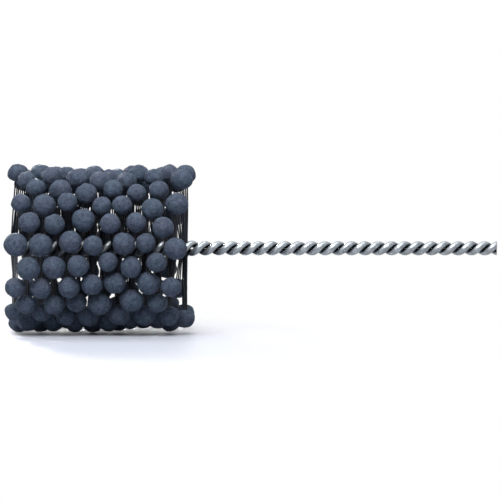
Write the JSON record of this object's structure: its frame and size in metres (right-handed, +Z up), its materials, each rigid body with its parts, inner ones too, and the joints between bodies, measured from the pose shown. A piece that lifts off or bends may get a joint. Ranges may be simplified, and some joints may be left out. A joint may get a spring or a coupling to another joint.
{
  "type": "flexible ball hone",
  "caption": "Flexible ball hone: abrasive globules on nylon filaments held in a twisted wire stem, for deglazing and finishing cylinder bores.",
  "frame": {"origin": "centre of the shank's cut end, on the stem's axis", "axes": "+X along the stem from the head to the shank's end, +Z up"},
  "size_m": [0.203, 0.07, 0.0702],
  "materials": {
    "steel": "galvanised, bright drawn wire",
    "nylon": "black drawn nylon filament",
    "abrasive": "matte gritty resin-bonded abrasive"
  },
  "bodies": {
    "stem": {"stem_wire_a": "steel", "stem_wire_b": "steel", "clamped_filaments": "nylon"},
    "tufts": {"nylon_filaments_01": "nylon", "nylon_filaments_02": "nylon", "nylon_filaments_03": "nylon", "nylon_filaments_04": "nylon", "nylon_filaments_05": "nylon", "nylon_filaments_06": "nylon", "nylon_filaments_07": "nylon", "nylon_filaments_08": "nylon", "nylon_filaments_09": "nylon", "nylon_filaments_10": "nylon", "nylon_filaments_11": "nylon", "nylon_filaments_12": "nylon", "nylon_filaments_13": "nylon", "nylon_filaments_14": "nylon", "nylon_filaments_15": "nylon", "nylon_filaments_16": "nylon", "nylon_filaments_17": "nylon", "nylon_filaments_18": "nylon", "nylon_filaments_19": "nylon", "nylon_filaments_20": "nylon", "nylon_filaments_21": "nylon", "nylon_filaments_22": "nylon"},
    "column_01": {"abrasive_globules_01": "abrasive"},
    "column_02": {"abrasive_globules_02": "abrasive"},
    "column_03": {"abrasive_globules_03": "abrasive"},
    "column_04": {"abrasive_globules_04": "abrasive"},
    "column_05": {"abrasive_globules_05": "abrasive"},
    "column_06": {"abrasive_globules_06": "abrasive"},
    "column_07": {"abrasive_globules_07": "abrasive"},
    "column_08": {"abrasive_globules_08": "abrasive"},
    "column_09": {"abrasive_globules_09": "abrasive"},
    "column_10": {"abrasive_globules_10": "abrasive"},
    "column_11": {"abrasive_globules_11": "abrasive"},
    "column_12": {"abrasive_globules_12": "abrasive"},
    "column_13": {"abrasive_globules_13": "abrasive"},
    "column_14": {"abrasive_globules_14": "abrasive"},
    "column_15": {"abrasive_globules_15": "abrasive"},
    "column_16": {"abrasive_globules_16": "abrasive"},
    "column_17": {"abrasive_globules_17": "abrasive"},
    "column_18": {"abrasive_globules_18": "abrasive"},
    "column_19": {"abrasive_globules_19": "abrasive"},
    "column_20": {"abrasive_globules_20": "abrasive"},
    "column_21": {"abrasive_globules_21": "abrasive"},
    "column_22": {"abrasive_globules_22": "abrasive"}
  },
  "joints": [
    {"name": "tufts_trail", "type": "hinge", "parent": "stem", "child": "tufts", "pos_m": [-0.165, 0, 0], "axis": [1, 0, 0], "range_deg": [-20, 20], "stiffness_Nm_per_rad": 2.5, "deforming": ["nylon_filaments_01", "nylon_filaments_02", "nylon_filaments_03", "nylon_filaments_04", "nylon_filaments_05", "nylon_filaments_06", "nylon_filaments_07", "nylon_filaments_08", "nylon_filaments_09", "nylon_filaments_10", "nylon_filaments_11", "nylon_filaments_12", "nylon_filaments_13", "nylon_filaments_14", "nylon_filaments_15", "nylon_filaments_16", "nylon_filaments_17", "nylon_filaments_18", "nylon_filaments_19", "nylon_filaments_20", "nylon_filaments_21", "nylon_filaments_22"]},
    {"name": "column_01_press", "type": "slide", "parent": "tufts", "child": "column_01", "axis": [0, -0.0497, 0.9988], "range_m": [0, 0.00315], "stiffness_N_per_m": 700, "springref_m": -0.002, "deforming": ["nylon_filaments_01"]},
    {"name": "column_02_press", "type": "slide", "parent": "tufts", "child": "column_02", "axis": [0, 0.2337, 0.9723], "range_m": [0, 0.00315], "stiffness_N_per_m": 700, "springref_m": -0.002, "deforming": ["nylon_filaments_02"]},
    {"name": "column_03_press", "type": "slide", "parent": "tufts", "child": "column_03", "axis": [0, 0.4981, 0.8671], "range_m": [0, 0.00315], "stiffness_N_per_m": 700, "springref_m": -0.002, "deforming": ["nylon_filaments_03"]},
    {"name": "column_04_press", "type": "slide", "parent": "tufts", "child": "column_04", "axis": [0, 0.7222, 0.6916], "range_m": [0, 0.00315], "stiffness_N_per_m": 700, "springref_m": -0.002, "deforming": ["nylon_filaments_04"]},
    {"name": "column_05_press", "type": "slide", "parent": "tufts", "child": "column_05", "axis": [0, 0.8878, 0.4601], "range_m": [0, 0.00315], "stiffness_N_per_m": 700, "springref_m": -0.002, "deforming": ["nylon_filaments_05"]},
    {"name": "column_06_press", "type": "slide", "parent": "tufts", "child": "column_06", "axis": [0, 0.9815, 0.1914], "range_m": [0, 0.00315], "stiffness_N_per_m": 700, "springref_m": -0.002, "deforming": ["nylon_filaments_06"]},
    {"name": "column_07_press", "type": "slide", "parent": "tufts", "child": "column_07", "axis": [0, 0.9957, -0.0929], "range_m": [0, 0.00315], "stiffness_N_per_m": 700, "springref_m": -0.002, "deforming": ["nylon_filaments_07"]},
    {"name": "column_08_press", "type": "slide", "parent": "tufts", "child": "column_08", "axis": [0, 0.9292, -0.3697], "range_m": [0, 0.00315], "stiffness_N_per_m": 700, "springref_m": -0.002, "deforming": ["nylon_filaments_08"]},
    {"name": "column_09_press", "type": "slide", "parent": "tufts", "child": "column_09", "axis": [0, 0.7874, -0.6165], "range_m": [0, 0.00315], "stiffness_N_per_m": 700, "springref_m": -0.002, "deforming": ["nylon_filaments_09"]},
    {"name": "column_10_press", "type": "slide", "parent": "tufts", "child": "column_10", "axis": [0, 0.5818, -0.8133], "range_m": [0, 0.00315], "stiffness_N_per_m": 700, "springref_m": -0.002, "deforming": ["nylon_filaments_10"]},
    {"name": "column_11_press", "type": "slide", "parent": "tufts", "child": "column_11", "axis": [0, 0.3291, -0.9443], "range_m": [0, 0.00315], "stiffness_N_per_m": 700, "springref_m": -0.002, "deforming": ["nylon_filaments_11"]},
    {"name": "column_12_press", "type": "slide", "parent": "tufts", "child": "column_12", "axis": [0, 0.0497, -0.9988], "range_m": [0, 0.00315], "stiffness_N_per_m": 700, "springref_m": -0.002, "deforming": ["nylon_filaments_12"]},
    {"name": "column_13_press", "type": "slide", "parent": "tufts", "child": "column_13", "axis": [0, -0.2337, -0.9723], "range_m": [0, 0.00315], "stiffness_N_per_m": 700, "springref_m": -0.002, "deforming": ["nylon_filaments_13"]},
    {"name": "column_14_press", "type": "slide", "parent": "tufts", "child": "column_14", "axis": [0, -0.4981, -0.8671], "range_m": [0, 0.00315], "stiffness_N_per_m": 700, "springref_m": -0.002, "deforming": ["nylon_filaments_14"]},
    {"name": "column_15_press", "type": "slide", "parent": "tufts", "child": "column_15", "axis": [0, -0.7222, -0.6916], "range_m": [0, 0.00315], "stiffness_N_per_m": 700, "springref_m": -0.002, "deforming": ["nylon_filaments_15"]},
    {"name": "column_16_press", "type": "slide", "parent": "tufts", "child": "column_16", "axis": [0, -0.8878, -0.4601], "range_m": [0, 0.00315], "stiffness_N_per_m": 700, "springref_m": -0.002, "deforming": ["nylon_filaments_16"]},
    {"name": "column_17_press", "type": "slide", "parent": "tufts", "child": "column_17", "axis": [0, -0.9815, -0.1914], "range_m": [0, 0.00315], "stiffness_N_per_m": 700, "springref_m": -0.002, "deforming": ["nylon_filaments_17"]},
    {"name": "column_18_press", "type": "slide", "parent": "tufts", "child": "column_18", "axis": [0, -0.9957, 0.0929], "range_m": [0, 0.00315], "stiffness_N_per_m": 700, "springref_m": -0.002, "deforming": ["nylon_filaments_18"]},
    {"name": "column_19_press", "type": "slide", "parent": "tufts", "child": "column_19", "axis": [0, -0.9292, 0.3697], "range_m": [0, 0.00315], "stiffness_N_per_m": 700, "springref_m": -0.002, "deforming": ["nylon_filaments_19"]},
    {"name": "column_20_press", "type": "slide", "parent": "tufts", "child": "column_20", "axis": [0, -0.7874, 0.6165], "range_m": [0, 0.00315], "stiffness_N_per_m": 700, "springref_m": -0.002, "deforming": ["nylon_filaments_20"]},
    {"name": "column_21_press", "type": "slide", "parent": "tufts", "child": "column_21", "axis": [0, -0.5818, 0.8133], "range_m": [0, 0.00315], "stiffness_N_per_m": 700, "springref_m": -0.002, "deforming": ["nylon_filaments_21"]},
    {"name": "column_22_press", "type": "slide", "parent": "tufts", "child": "column_22", "axis": [0, -0.3291, 0.9443], "range_m": [0, 0.00315], "stiffness_N_per_m": 700, "springref_m": -0.002, "deforming": ["nylon_filaments_22"]}
  ]
}
